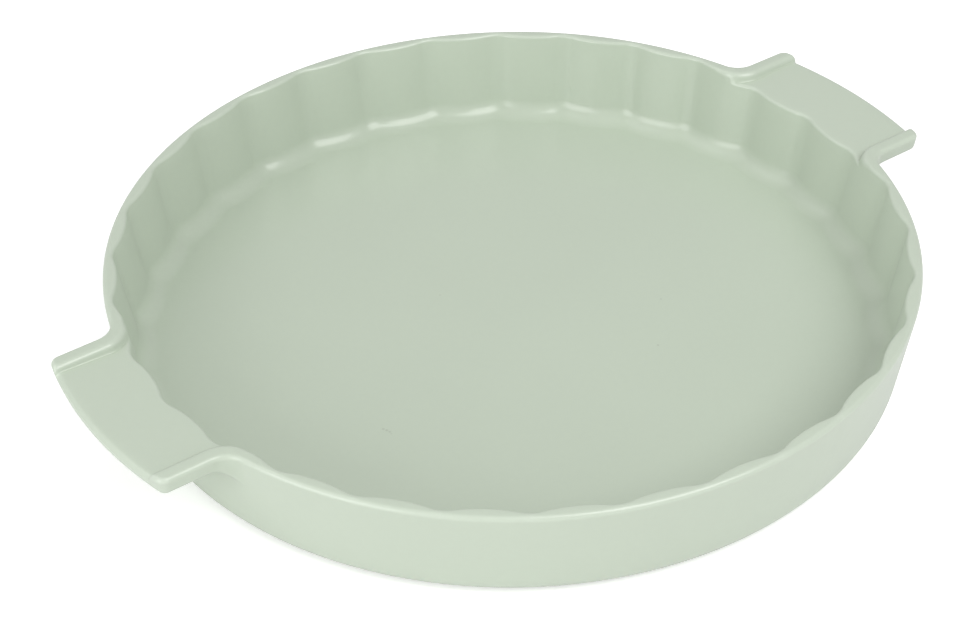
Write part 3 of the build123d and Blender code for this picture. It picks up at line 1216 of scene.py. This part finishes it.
class PieDish:
    """The whole dish: its skin divided into clay parts, and the parts that the skin leaves out."""

    NEAR = 0.02
    FULL_TURN = 2 * math.pi - 1e-4
    FOOT_COLUMNS = 720
    FOOT_WORN_SHARE = 0.25

    def __init__(self, glaze: bpy.types.Material, clay: bpy.types.Material) -> None:
        """Builds every part.

        Args:
            glaze: The glaze.
            clay: The bare clay.
        """
        self.dish, self.lug, self.grid = DishSizes(), LugSizes(), Grid()
        self.glaze, self.clay = glaze, clay
        plan = LugPlan(self.dish, self.lug)
        self.lining = Lining(plan, self.grid, FluteTree(), glaze)
        self.outer = OuterForm(self.dish, plan, self.grid)
        self.skin = self.build_skin(plan)
        count = len(self.skin.places)
        right = Seat(self.skin, Label.RIGHT, self.dish, count)
        left = Seat(self.skin, Label.LEFT, self.dish, count + len(right.points))
        extra = np.concatenate([right.points, left.points])
        hidden = right.faces + left.faces + self.inner_ring()
        self.part("wall_body", "fluted_wall", Label.WALL, hidden, extra)
        self.part("lug_right", "handle_right", Label.RIGHT, right.faces, extra)
        self.part("lug_left", "handle_left", Label.LEFT, left.faces, extra)
        self.floor_slab()
        self.foot_band()

    def build_skin(self, plan: LugPlan) -> Skin:
        """Puts the skin together and welds it.

        Args:
            plan: Plan of a lug.

        Returns:
            The welded skin.
        """
        grid, skin = self.grid, Skin()
        wall, lugs = Label.WALL.value, (Label.RIGHT.value, Label.LEFT.value)
        everywhere = grid.cell_labels(0, lugs, wall)
        skin.strip(self.lining.rows, everywhere)
        rim = np.concatenate([self.lining.rows[-1:], self.outer.edge])
        away = grid.cell_labels(grid.sector, (-1, -1), wall)
        rim[0, grid.sector] = self.lining.rows[-1, grid.sector]
        skin.strip(rim, away)
        skin.strip(self.outer.side, grid.cell_labels(grid.seat_column, lugs, wall))
        skin.strip(self.outer.base, everywhere)
        sheet = TopSheet(plan, grid, self.lining, self.outer)
        skin.sheet(sheet, Label.RIGHT)
        skin.sheet(sheet, Label.LEFT)
        skin.weld()
        return skin

    def circle(self, z: float) -> np.ndarray:
        """Numbers of the skin's points on the floor slab's edge at a height, by angle.

        Args:
            z: The height.

        Returns:
            The numbers in order of angle.
        """
        place = self.skin.places
        on_edge = np.abs(np.hypot(place[:, 0], place[:, 1]) - self.dish.floor_radius) < self.NEAR
        found = np.flatnonzero(on_edge & (np.abs(place[:, 2] - z) < self.NEAR))
        return found[np.argsort(np.arctan2(place[found, 1], place[found, 0]) % self.FULL_TURN)]

    def inner_ring(self) -> list[tuple[int, ...]]:
        """The hidden faces on which the wall and the floor slab meet.

        Returns:
            The faces as corner numbers.
        """
        top, low = self.circle(self.dish.floor_top), self.circle(self.dish.foot_height)
        return [
            (int(top[k - 1]), int(top[k]), int(low[k]), int(low[k - 1])) for k in range(len(top))
        ]

    def part(
        self, name: str, node: str, label: Label, hidden: list[tuple[int, ...]], extra: np.ndarray
    ) -> None:
        """Makes one part of the skin, closed by its hidden faces.

        Args:
            name: Name of the object.
            node: The frame's node that it stands for.
            label: The part of the skin.
            hidden: The hidden faces.
            extra: Points of the hidden faces that the skin hasn't.
        """
        skin = self.skin
        faces = [skin.corners[number] for number in np.flatnonzero(skin.face_labels == label.value)]
        smooth = len(faces)
        faces = faces + hidden
        used = np.unique(np.concatenate([np.array(face) for face in faces]))
        places = np.concatenate([skin.places, extra])
        normals = np.concatenate([skin.normals, np.zeros_like(extra)])
        bends = np.concatenate([skin.bends, np.zeros(len(extra))])
        number = np.full(len(places), -1)
        number[used] = np.arange(len(used))
        faces = [tuple(number[list(face)].tolist()) for face in faces]
        piece = Piece(name, node, "sage_glaze", self.glaze)
        piece.make(places[used], faces, normals[used], bends[used], smooth)

    def floor_slab(self) -> None:
        """Makes the floor, flat above and below."""
        top = self.skin.places[self.circle(self.dish.floor_top)]
        low = self.skin.places[self.circle(self.dish.foot_height)]
        count = len(top)
        faces = [tuple(range(count)), tuple(range(2 * count - 1, count - 1, -1))]
        faces += [((k + 1) % count, k, count + k, count + (k + 1) % count) for k in range(count)]
        points = np.concatenate([top, low])
        piece = Piece("floor_slab", "dish_floor", "sage_glaze", self.glaze)
        piece.make(points, faces, np.zeros_like(points), np.zeros(len(points)), 0)

    def foot_band(self) -> None:
        """Makes the foot ring of bare clay."""
        dish = self.dish
        outer = dish.base_centre - dish.foot_set_in
        inner, high = outer - dish.foot_width, dish.foot_height
        worn, columns = high * self.FOOT_WORN_SHARE, self.FOOT_COLUMNS
        profile = [(inner, high), (outer, high), (outer, worn)]
        profile += [(outer - worn, 0.0), (inner + worn, 0.0), (inner, worn)]
        turns = np.arange(columns) * 2 * math.pi / columns
        points = np.concatenate(
            [np.column_stack([np.cos(turns) * r, np.sin(turns) * r, turns * 0 + z]) for r, z in profile]
        )
        faces = []
        for row in range(len(profile)):
            low, high_row = row * columns, (row + 1) % len(profile) * columns
            for k in range(columns):
                after = (k + 1) % columns
                faces.append((low + k, high_row + k, high_row + after, low + after))
        piece = Piece("foot_band", "foot_ring", "bare_clay", self.clay)
        piece.make(points, faces, np.zeros_like(points), np.zeros(len(points)), 0)


class ShaderGroups:
    """The shader node groups that the finishes share."""

    MOTTLE_DETAIL = 3.0
    MARK_SHARPNESS = 2.0

    @staticmethod
    def start(
        name: str, inputs: dict[str, str], outputs: dict[str, str]
    ) -> tuple[NodeTree, bpy.types.Node, bpy.types.Node]:
        """Starts a group with its sockets.

        Args:
            name: Name of the group.
            inputs: Kind of each input socket by its name.
            outputs: Kind of each output socket by its name.

        Returns:
            The tree, its input node and its output node.
        """
        group = bpy.data.node_groups.new(name, "ShaderNodeTree")
        for socket, kind in inputs.items():
            group.interface.new_socket(socket, in_out="INPUT", socket_type=kind)
        for socket, kind in outputs.items():
            group.interface.new_socket(socket, in_out="OUTPUT", socket_type=kind)
        nodes = NodeTree(group)
        return nodes, nodes.add("NodeGroupInput"), nodes.add("NodeGroupOutput")

    @classmethod
    def mottle(cls) -> bpy.types.NodeTree:
        """Slow changes of tone over a surface, as a factor about 1.

        Returns:
            The group.
        """
        nodes, given, out = cls.start(
            "mottle",
            {"Scale": "NodeSocketFloat", "Strength": "NodeSocketFloat"},
            {"Factor": "NodeSocketFloat"},
        )
        place = nodes.add("ShaderNodeTexCoord").outputs["Object"]
        broad = nodes.add("ShaderNodeTexNoise")
        nodes.feed(broad.inputs["Vector"], place)
        nodes.feed(broad.inputs["Scale"], given.outputs["Scale"])
        nodes.feed(broad.inputs["Detail"], cls.MOTTLE_DETAIL)
        centred = nodes.math("SUBTRACT", broad.outputs[0], 0.5)
        factor = nodes.math("MULTIPLY_ADD", centred, given.outputs["Strength"], 1.0)
        nodes.feed(out.inputs["Factor"], factor)
        return nodes.tree

    @classmethod
    def glaze_break_and_painted_light(cls) -> bpy.types.NodeTree:
        """Masks of the sharp edges, which the finish makes lighter, partly for thin glaze and partly as a
        painted highlight, and of the hollows, which it makes darker, partly for pooled glaze and partly as
        painted shade.

        Returns:
            The group.
        """
        nodes, given, out = cls.start(
            "glaze_break_and_painted_light",
            {"Edge At": "NodeSocketFloat", "Hollow At": "NodeSocketFloat"},
            {"Edge": "NodeSocketFloat", "Hollow": "NodeSocketFloat"},
        )
        bend = nodes.add("ShaderNodeAttribute", attribute_name="bend").outputs["Fac"]
        # Edge mask: lighter glaze on convex edges, partly thin glaze and partly a painted highlight
        edge = nodes.math("DIVIDE", bend, given.outputs["Edge At"])
        # Hollow mask: darker glaze in hollows, partly pooled glaze and partly painted shade
        hollow = nodes.math("DIVIDE", nodes.math("MULTIPLY", bend, -1.0), given.outputs["Hollow At"])
        for name, value in (("Edge", edge), ("Hollow", hollow)):
            limit = nodes.add("ShaderNodeClamp")
            nodes.feed(limit.inputs["Value"], value)
            nodes.feed(out.inputs[name], limit.outputs[0])
        return nodes.tree

    @classmethod
    def pinhole(cls) -> bpy.types.NodeTree:
        """A mask of one small round flaw in the glaze.

        Returns:
            The group.
        """
        nodes, given, out = cls.start(
            "pinhole",
            {"Centre": "NodeSocketVector", "Size": "NodeSocketFloat"},
            {"Mask": "NodeSocketFloat"},
        )
        place = nodes.add("ShaderNodeTexCoord").outputs["Object"]
        gap = nodes.add("ShaderNodeVectorMath", operation="DISTANCE")
        nodes.feed(gap.inputs[0], place)
        nodes.feed(gap.inputs[1], given.outputs["Centre"])
        share = nodes.math("DIVIDE", gap.outputs["Value"], given.outputs["Size"])
        left = nodes.math("SUBTRACT", 1.0, share)
        limit = nodes.add("ShaderNodeClamp")
        nodes.feed(limit.inputs["Value"], nodes.math("MULTIPLY", left, cls.MARK_SHARPNESS))
        nodes.feed(out.inputs["Mask"], limit.outputs[0])
        return nodes.tree


@dataclass(frozen=True)
class Finish:
    """Colours, gloss and relief of one finish, the colours linear and the relief's depth in metres.

    A bend of edge_at shows the lighter edge colour in full, partly thin glaze and partly a painted
    highlight, and one of hollow_at the darker hollow colour, partly pooled glaze and partly painted shade.
    Each mottle is the scale and the strength of one change of tone.
    """

    name: str
    base: tuple[float, float, float]
    # Lighter colour on edges: partly thin glaze, partly a painted highlight
    thin_glaze_and_highlight: tuple[float, float, float]
    # Darker colour in hollows: partly pooled glaze, partly painted shade
    pooled_glaze_and_shade: tuple[float, float, float]
    roughness: float
    coat: float
    relief_scale: float
    relief_strength: float
    relief_depth: float
    coat_roughness: float = 0.08
    edge_at: float = 0.55
    hollow_at: float = 0.35
    mottles: tuple[tuple[float, float], ...] = ((14.0, 0.05), (420.0, 0.03))


GLAZE = Finish(
    name="sage_glaze",
    base=(0.515, 0.585, 0.481),
    # Lighter edge colour and darker hollow colour: thin and pooled glaze together with a painted highlight
    # and painted shade
    thin_glaze_and_highlight=(0.565, 0.63, 0.535),
    pooled_glaze_and_shade=(0.46, 0.535, 0.42),
    roughness=0.3,
    coat=0.35,
    relief_scale=60.0,
    relief_strength=0.12,
    relief_depth=0.001,
)
CLAY = Finish(
    name="bare_clay",
    base=(0.42, 0.38, 0.32),
    # Lighter edge and darker hollow colours: partly real, partly painted highlight and painted shade; the
    # foot band's bends are zero, so they don't show there
    thin_glaze_and_highlight=(0.5, 0.45, 0.38),
    pooled_glaze_and_shade=(0.34, 0.31, 0.26),
    roughness=0.85,
    coat=0.0,
    relief_scale=900.0,
    relief_strength=0.4,
    relief_depth=0.0003,
)


@dataclass(frozen=True)
class Flaw:
    """A small mark in the floor's glaze, its place and size in millimetres."""

    x: float
    y: float
    size: float
    strength: float


FLAW_COLOUR = (0.3, 0.33, 0.27)

# The first four make up one curved mark
FLAWS = (
    Flaw(-75.6, -25.6, 0.7, 0.3),
    Flaw(-75.0, -26.9, 0.7, 0.35),
    Flaw(-74.6, -28.2, 0.65, 0.3),
    Flaw(-74.7, -29.4, 0.5, 0.2),
    Flaw(32.6, -47.1, 0.6, 0.35),
    Flaw(51.2, -26.0, 0.5, 0.3),
    Flaw(-14.8, 26.6, 0.5, 0.25),
)


@dataclass(frozen=True)
class PaleSurface:
    """The surface that the dish stands on: its tone, its glow to the camera alone and its half width."""

    name: str = "pale_surface"
    tone: float = 0.9
    roughness: float = 0.9
    glow: float = 0.4
    half_width: float = 4.0


class Finishes:
    """Makes the materials."""

    def __init__(self) -> None:
        """Builds the shared groups."""
        self.mottle = ShaderGroups.mottle()
        self.edges = ShaderGroups.glaze_break_and_painted_light()
        self.pinhole = ShaderGroups.pinhole()

    @staticmethod
    def start(name: str) -> tuple[bpy.types.Material, NodeTree, bpy.types.Node]:
        """Starts a material.

        Args:
            name: Name of the material.

        Returns:
            The material, its tree and its shader.
        """
        material = bpy.data.materials.new(name)
        material.use_nodes = True
        return material, NodeTree(material.node_tree), material.node_tree.nodes["Principled BSDF"]

    def group(self, nodes: NodeTree, tree: bpy.types.NodeTree, **values: object) -> bpy.types.Node:
        """Adds a group node.

        Args:
            nodes: The material's tree.
            tree: The group's tree.
            values: The group's inputs by name, with underscores for spaces.

        Returns:
            The node.
        """
        node = nodes.add("ShaderNodeGroup", node_tree=tree)
        for name, value in values.items():
            nodes.feed(node.inputs[name.replace("_", " ")], value)
        return node

    def mix(self, nodes: NodeTree, share: object, a: object, b: object) -> bpy.types.NodeSocket:
        """Mixes two colours.

        Args:
            nodes: The material's tree.
            share: How much of the second colour shows, as a socket or a number.
            a: The first colour.
            b: The second colour.

        Returns:
            The mixed colour.
        """
        node = nodes.add("ShaderNodeMix", data_type="RGBA")
        for place, value in ((0, share), (6, a), (7, b)):
            nodes.feed(node.inputs[place], value)
        return node.outputs[2]

    def tone(self, nodes: NodeTree, finish: Finish) -> bpy.types.NodeSocket:
        """The finish's colour with its mottling, edges made lighter (thin glaze and a painted highlight)
        and hollows made darker (pooled glaze and painted shade).

        Args:
            nodes: The material's tree.
            finish: The finish.

        Returns:
            The colour.
        """
        edges = self.group(nodes, self.edges, Edge_At=finish.edge_at, Hollow_At=finish.hollow_at)
        # Painted highlight with thin glaze: lighter colour on convex edges
        colour = self.mix(nodes, edges.outputs["Edge"], (*finish.base, 1.0), (*finish.thin_glaze_and_highlight, 1.0))
        # Painted shade with pooled glaze: darker colour in hollows
        colour = self.mix(nodes, edges.outputs["Hollow"], colour, (*finish.pooled_glaze_and_shade, 1.0))
        factor = 1.0
        for scale, strength in finish.mottles:
            mottle = self.group(nodes, self.mottle, Scale=scale, Strength=strength)
            factor = nodes.math("MULTIPLY", mottle.outputs["Factor"], factor)
        scaled = nodes.add("ShaderNodeVectorMath", operation="SCALE")
        nodes.feed(scaled.inputs[0], colour)
        nodes.feed(scaled.inputs["Scale"], factor)
        return scaled.outputs[0]

    def ceramic(self, finish: Finish, flaws: tuple[Flaw, ...] = ()) -> bpy.types.Material:
        """Makes the glaze or the bare clay.

        Args:
            finish: The finish.
            flaws: Small marks in it on the dish's floor.

        Returns:
            The material.
        """
        material, nodes, shader = self.start(finish.name)
        shader.inputs["Roughness"].default_value = finish.roughness
        shader.inputs["Coat Weight"].default_value = finish.coat
        shader.inputs["Coat Roughness"].default_value = finish.coat_roughness
        colour = self.tone(nodes, finish)
        for flaw in flaws:
            centre = (flaw.x * MM, flaw.y * MM, DishSizes().floor_top * MM)
            mark = self.group(nodes, self.pinhole, Centre=centre, Size=flaw.size * MM)
            share = nodes.math("MULTIPLY", mark.outputs["Mask"], flaw.strength)
            colour = self.mix(nodes, share, colour, (*FLAW_COLOUR, 1.0))
        nodes.feed(shader.inputs["Base Color"], colour)
        relief = self.group(nodes, self.mottle, Scale=finish.relief_scale, Strength=1.0)
        bump = nodes.add("ShaderNodeBump")
        bump.inputs["Strength"].default_value = finish.relief_strength
        bump.inputs["Distance"].default_value = finish.relief_depth
        nodes.feed(bump.inputs["Height"], relief.outputs["Factor"])
        nodes.feed(shader.inputs["Normal"], bump.outputs[0])
        return material

    def surface(self, look: PaleSurface) -> bpy.types.Material:
        """Makes the material of the surface that the dish stands on.

        Args:
            look: The surface.

        Returns:
            The material.
        """
        material, nodes, shader = self.start(look.name)
        shader.inputs["Base Color"].default_value = (look.tone, look.tone, look.tone, 1.0)
        shader.inputs["Roughness"].default_value = look.roughness
        shader.inputs["Emission Color"].default_value = (1.0, 1.0, 1.0, 1.0)
        seen = nodes.add("ShaderNodeLightPath").outputs["Is Camera Ray"]
        nodes.feed(shader.inputs["Emission Strength"], nodes.math("MULTIPLY", seen, look.glow))
        return material


@dataclass(frozen=True)
class PhotoView:
    """The camera that sees the dish as the photograph does, its lengths as shares of the rim's radius."""

    focal_px: float = 2207.247
    width_px: float = 970.0
    sensor_mm: float = 36.0
    elevation: float = math.radians(37.8627)
    turn: float = math.radians(34.9925)
    roll: float = math.radians(1.1443)
    distance_share: float = 5.6363
    aim_shares: tuple[float, float] = (-0.0685, 0.0613)

    def place(self, radius: float) -> Matrix:
        """The camera's place and direction in the frame.

        Args:
            radius: The rim's radius in metres.

        Returns:
            The matrix of the camera object.
        """
        cos_e, sin_e = math.cos(self.elevation), math.sin(self.elevation)
        forward, right, up = Vector((0, cos_e, -sin_e)), Vector((1, 0, 0)), Vector((0, sin_e, cos_e))
        aim = Vector((*self.aim_shares, 0.0))
        eye = (aim - forward * self.distance_share) * radius
        side = right * math.cos(self.roll) - up * math.sin(self.roll)
        over = right * math.sin(self.roll) + up * math.cos(self.roll)
        axes = Matrix((side, over, -forward)).transposed().to_4x4()
        return Matrix.Rotation(-self.turn, 4, "Z") @ Matrix.Translation(eye) @ axes


@dataclass(frozen=True)
class Lamp:
    """A soft square light: its direction from the dish in degrees, its power, distance and width."""

    name: str
    azimuth: float
    elevation: float
    power: float
    distance: float = 1.6
    size: float = 1.0


LAMPS = (
    Lamp("key", 279.0, 52.0, 12.5),
    Lamp("low_fill", 189.0, 20.0, 9.0),
    Lamp("side", 144.0, 52.0, 2.3),
)


class Studio:
    """The camera, the lights and the pale surface."""

    WORLD = 0.55

    def __init__(self, finishes: Finishes) -> None:
        """Sets everything up.

        Args:
            finishes: Makes the surface's material.
        """
        scene = bpy.context.scene
        self.view = PhotoView()
        self.camera()
        self.world()
        for lamp in LAMPS:
            self.lamp(lamp)
        self.surface(finishes, PaleSurface())
        scene.view_settings.view_transform = "Standard"

    def camera(self) -> None:
        """Adds the camera."""
        data = bpy.data.cameras.new("photo_camera")
        data.sensor_width = self.view.sensor_mm
        data.lens = self.view.focal_px * self.view.sensor_mm / self.view.width_px
        camera = bpy.data.objects.new("photo_camera", data)
        camera.matrix_world = self.view.place(DishSizes().rim_radius * MM)
        bpy.context.scene.collection.objects.link(camera)
        bpy.context.scene.camera = camera

    def world(self) -> None:
        """Adds the even white surroundings."""
        world = bpy.data.worlds.new("white_studio")
        world.use_nodes = True
        back = world.node_tree.nodes["Background"]
        back.inputs["Color"].default_value = (1.0, 1.0, 1.0, 1.0)
        back.inputs["Strength"].default_value = self.WORLD
        bpy.context.scene.world = world

    def lamp(self, lamp: Lamp) -> None:
        """Adds a light that points at the dish.

        Args:
            lamp: The light.
        """
        data = bpy.data.lights.new(lamp.name, "AREA")
        data.size = lamp.size
        data.energy = lamp.power
        made = bpy.data.objects.new(lamp.name, data)
        azimuth, elevation = math.radians(lamp.azimuth), math.radians(lamp.elevation)
        flat = math.cos(elevation)
        direction = Vector((flat * math.cos(azimuth), flat * math.sin(azimuth), math.sin(elevation)))
        made.location = direction * lamp.distance
        made.rotation_euler = direction.to_track_quat("Z", "Y").to_euler()
        bpy.context.scene.collection.objects.link(made)

    def surface(self, finishes: Finishes, look: PaleSurface) -> None:
        """Adds the surface under the dish.

        Args:
            finishes: Makes its material.
            look: The surface.
        """
        half = look.half_width
        corners = [(-half, -half, 0.0), (half, -half, 0.0), (half, half, 0.0), (-half, half, 0.0)]
        mesh = bpy.data.meshes.new(look.name)
        mesh.from_pydata(corners, [], [(0, 1, 2, 3)])
        mesh.materials.append(finishes.surface(look))
        made = bpy.data.objects.new(look.name, mesh)
        bpy.context.scene.collection.objects.link(made)


def main() -> None:
    """Builds the dish and its studio."""
    logging.basicConfig(level=logging.INFO)
    finishes = Finishes()
    PieDish(finishes.ceramic(GLAZE, FLAWS), finishes.ceramic(CLAY))
    Studio(finishes)


if __name__ == "__main__":
    main()
